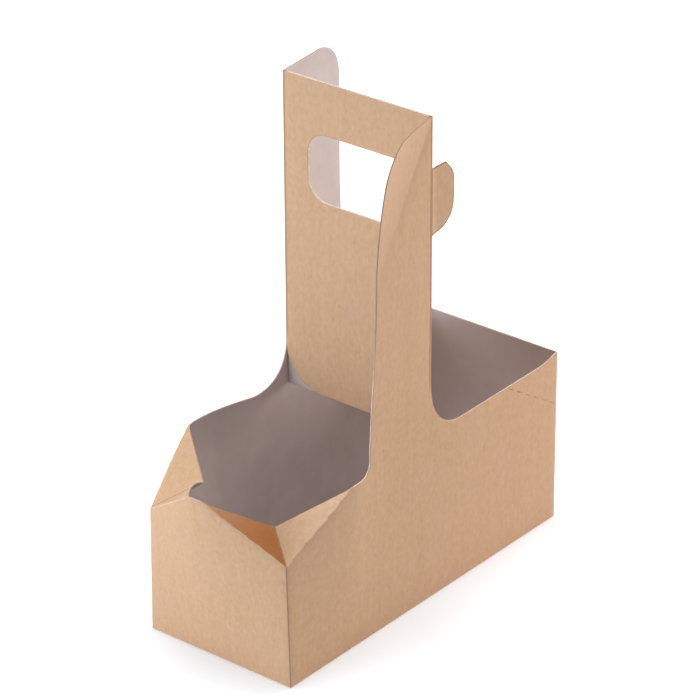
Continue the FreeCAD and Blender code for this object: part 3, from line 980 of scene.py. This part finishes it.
def slit_shade_material(look, group):
    """Painted shade of a cut dash: the dark colour of the thin body that stands where a slit's inside lies
    in shadow.
    """
    material, tree, shader = new_material("cut_dash")
    paper = fibres_in(tree, group)
    base = mix(tree, paper["Fibres"], look.slit_shade, look.kraft_dark)
    fill(tree, shader, {"Base Color": base, "Normal": relief(tree, paper["Height"], 0.3, 0.0002),
                        "Roughness": 0.95, "Specular IOR Level": 0.0})
    return material


def dash_group():
    """Lays one thin dash on every point, along the crease and flat on the board."""
    tree = bpy.data.node_groups.new("Cut dashes", "GeometryNodeTree")

    def stored(name):
        found = node(tree, "GeometryNodeInputNamedAttribute", {"Name": name}, data_type="FLOAT_VECTOR")
        return found.outputs[0]

    sockets = [("Points", "NodeSocketGeometry"), ("Length", "NodeSocketFloat"), ("Width", "NodeSocketFloat"),
               ("Depth", "NodeSocketFloat"), ("Seed", "NodeSocketInt"), ("Material", "NodeSocketMaterial")]
    for name, kind in sockets:
        tree.interface.new_socket(name=name, in_out="INPUT", socket_type=kind)
    tree.interface.new_socket(name="Dashes", in_out="OUTPUT", socket_type="NodeSocketGeometry")
    given = node(tree, "NodeGroupInput").outputs
    ball = node(tree, "GeometryNodeMeshUVSphere", {"Segments": 16, "Rings": 6, "Radius": 0.5})
    stand = node(tree, "FunctionNodeAlignRotationToVector", {"Vector": stored("up")}, axis="Z").outputs[0]
    turning = {"Rotation": stand, "Vector": stored("along")}
    turn = node(tree, "FunctionNodeAlignRotationToVector", turning, axis="X", pivot_axis="Z").outputs[0]
    shares = {2: DASH_SHARES[0], 3: DASH_SHARES[1], "Seed": given["Seed"]}
    vary = node(tree, "FunctionNodeRandomValue", shares, data_type="FLOAT")
    longer = sum_up(tree, "MULTIPLY", given["Length"], vary.outputs[1])
    scale = node(tree, "ShaderNodeCombineXYZ", {0: longer, 1: given["Width"], 2: given["Depth"]}).outputs[0]
    laying = {"Points": given["Points"], "Instance": ball.outputs["Mesh"], "Rotation": turn, "Scale": scale}
    laid = node(tree, "GeometryNodeInstanceOnPoints", laying).outputs[0]
    real = node(tree, "GeometryNodeRealizeInstances", {0: laid}).outputs[0]
    smooth_dash = node(tree, "GeometryNodeSetShadeSmooth", {0: real}).outputs[0]
    done = node(tree, "GeometryNodeSetMaterial", {0: smooth_dash, "Material": given["Material"]}).outputs[0]
    tree.links.new(done, node(tree, "NodeGroupOutput").inputs[0])
    return tree


def dash_places(sheet):
    """Where the upright corners' dashes lie: point, direction along the crease, direction off the board."""
    size = sheet.size
    foot = Vector((size.half_length, size.crease_height))
    head = Vector((size.half_length - size.crease_reach, size.notch_height))
    end_foot = Vector((size.half_base, size.crease_height))
    end_head = Vector((size.crest_half, size.corner_height))
    places = []
    creases = ((-1, sheet.wall(NEAR_SIDE), foot, head), (1, sheet.wall(FAR_SIDE), foot, head),
               (-1, sheet.straight_end, end_foot, end_head), (1, sheet.straight_end, end_foot, end_head))
    for facing, shape, start, stop in creases:
        on_end = start == end_foot
        if on_end:
            start = Vector((start.x * facing, start.y))
            stop = Vector((stop.x * facing, stop.y))
        count = int((stop - start).length / DASH_PITCH)
        for number in range(count):
            share = (number + DASH_START) * DASH_PITCH / (stop - start).length
            here = shape(start.lerp(stop, share))
            ahead = shape(start.lerp(stop, share + DASH_AHEAD))
            off = Vector((1, 0, 0)) if on_end else Vector((0, facing, 0))
            places.append((here, (ahead - here).normalized(), off))
    return places


def build_dashes(size, material):
    """The cut dashes of the creases at the box's upright end."""
    sheet = Sheet(size)
    places = dash_places(sheet)
    sheet.bm.free()
    mesh = bpy.data.meshes.new("corner_perforation")
    mesh.from_pydata([place[0] for place in places], [], [])
    for index, name in ((1, "along"), (2, "up")):
        layer = mesh.attributes.new(name, "FLOAT_VECTOR", "POINT")
        for number, place in enumerate(places):
            layer.data[number].vector = place[index]
    obj = bpy.data.objects.new("corner_perforation", mesh)
    bpy.context.scene.collection.objects.link(obj)
    modifier = obj.modifiers.new("Dashes", "NODES")
    group = dash_group()
    values = {"Length": size.dash_length, "Width": size.dash_width, "Depth": size.dash_depth,
              "Seed": DASH_SEED, "Material": material}
    modifier.node_group = group
    for item in group.interface.items_tree:
        if item.name in values:
            modifier[item.identifier] = values[item.name]
    apply_modifiers(obj)
    return obj


def floor_material(look):
    """A plain pale floor, which keeps the object's soft shadow and turns white further off."""
    material, tree, shader = new_material("pale_floor")
    place = node(tree, "ShaderNodeTexCoord").outputs["Object"]
    away = node(tree, "ShaderNodeVectorMath", {0: place}, operation="LENGTH").outputs["Value"]
    seen = node(tree, "ShaderNodeLightPath").outputs["Is Camera Ray"]
    backdrop = sum_up(tree, "MULTIPLY", between(tree, away, *FLOOR_FADE, FLOOR_NEAR, 1.0), seen)
    fill(tree, shader, {"Base Color": (*look.floor, 1.0), "Emission Color": (1.0, 1.0, 1.0, 1.0),
                        "Emission Strength": sum_up(tree, "ADD", backdrop, FLOOR_GLOW),
                        "Roughness": 0.9, "Specular IOR Level": 0.0})
    return material


def looking(place, aim):
    """The placing of a light or camera that stands at a place and looks at a point."""
    place = Vector(place)
    return Matrix.Translation(place) @ (Vector(aim) - place).to_track_quat("-Z", "Y").to_matrix().to_4x4()


def add_light(scene, name, place, power, tint):
    """A soft area light."""
    data = bpy.data.lights.new(name, "AREA")
    data.size = LIGHT_SIZE
    data.energy = power
    data.color = tint
    light = bpy.data.objects.new(name, data)
    light.matrix_world = looking(place, LIGHT_AIM)
    scene.collection.objects.link(light)


def add_camera(scene):
    """The photograph's view through its long lens."""
    data = bpy.data.cameras.new("camera")
    data.sensor_width = CAMERA_SENSOR
    data.lens = CAMERA_LENS
    data.clip_end = 20
    camera = bpy.data.objects.new("camera", data)
    tilt = Matrix.Rotation(math.radians(CAMERA_TILT), 4, "Z")
    camera.matrix_world = looking(CAMERA_PLACE, CAMERA_AIM) @ tilt
    scene.collection.objects.link(camera)
    scene.camera = camera


def add_world(scene, tone):
    """Even light from all round, and a pale background where the camera looks past the object."""
    world = bpy.data.worlds.new("studio")
    world.use_nodes = True
    tree = world.node_tree
    seen = node(tree, "ShaderNodeLightPath").outputs["Is Camera Ray"]
    shown = mix(tree, seen, AMBIENT, tone)
    tree.links.new(shown, tree.nodes["Background"].inputs["Color"])
    tree.nodes["Background"].inputs["Strength"].default_value = 1.0
    scene.world = world


class CARRIER_OT_board(bpy.types.Operator):
    """Fold the carrier from its sheet of board and give it its paper faces"""

    bl_idname = "carrier.board"
    bl_label = "Build Carrier"

    def execute(self, context):
        size = context.scene.carrier_sizes
        look = context.scene.carrier_look
        group = fibre_group()
        faces = (kraft_material(look, size, group), white_material(look, group), edge_material(look, group))
        obj = build_sheet(size, faces)
        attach(obj, BODY)
        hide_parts(NODE)
        return {"FINISHED"}


class CARRIER_OT_dashes(bpy.types.Operator):
    """Lay the cut dashes of the creases that aren't folded"""

    bl_idname = "carrier.dashes"
    bl_label = "Build Dashes"

    def execute(self, context):
        slit_shade = slit_shade_material(context.scene.carrier_look, bpy.data.node_groups["Paper fibres"])
        obj = build_dashes(context.scene.carrier_sizes, slit_shade)
        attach(obj, BODY)
        return {"FINISHED"}


class CARRIER_OT_stage(bpy.types.Operator):
    """Set the floor, lights, backdrop and camera"""

    bl_idname = "carrier.stage"
    bl_label = "Build Stage"

    def execute(self, context):
        scene = context.scene
        look = scene.carrier_look
        mesh = bpy.data.meshes.new("floor")
        corners = [(x * FLOOR_HALF, y * FLOOR_HALF, 0) for x, y in ((-1, -1), (1, -1), (1, 1), (-1, 1))]
        mesh.from_pydata(corners, [], [(0, 1, 2, 3)])
        floor = bpy.data.objects.new("floor", mesh)
        floor.location.z = -FLOOR_DROP
        mesh.materials.append(floor_material(look))
        scene.collection.objects.link(floor)
        for name, place, power, tint in STUDIO_LIGHTS:
            add_light(scene, name, place, power, tint)
        add_world(scene, look.backdrop)
        add_camera(scene)
        scene.view_settings.view_transform = "Standard"
        return {"FINISHED"}


class CARRIER_PT_panel(bpy.types.Panel):
    """The carrier's sizes, colours and steps"""

    bl_label = "Cup Carrier"
    bl_idname = "CARRIER_PT_panel"
    bl_space_type = "VIEW_3D"
    bl_region_type = "UI"
    bl_category = "Carrier"

    def draw(self, context):
        layout = self.layout
        for group in (context.scene.carrier_sizes, context.scene.carrier_look):
            column = layout.column()
            for name in group.__annotations__:
                column.prop(group, name)
        for operator in OPERATORS:
            layout.operator(operator.bl_idname)


OPERATORS = (CARRIER_OT_board, CARRIER_OT_dashes, CARRIER_OT_stage)
CLASSES = (CarrierSizes, CarrierLook) + OPERATORS + (CARRIER_PT_panel,)


def register():
    for cls in CLASSES:
        bpy.utils.register_class(cls)
    bpy.types.Scene.carrier_sizes = PointerProperty(type=CarrierSizes)
    bpy.types.Scene.carrier_look = PointerProperty(type=CarrierLook)


def unregister():
    del bpy.types.Scene.carrier_look
    del bpy.types.Scene.carrier_sizes
    for cls in reversed(CLASSES):
        bpy.utils.unregister_class(cls)


def main():
    register()
    bpy.ops.carrier.board()
    bpy.ops.carrier.dashes()
    bpy.ops.carrier.stage()


if __name__ == "__main__":
    main()
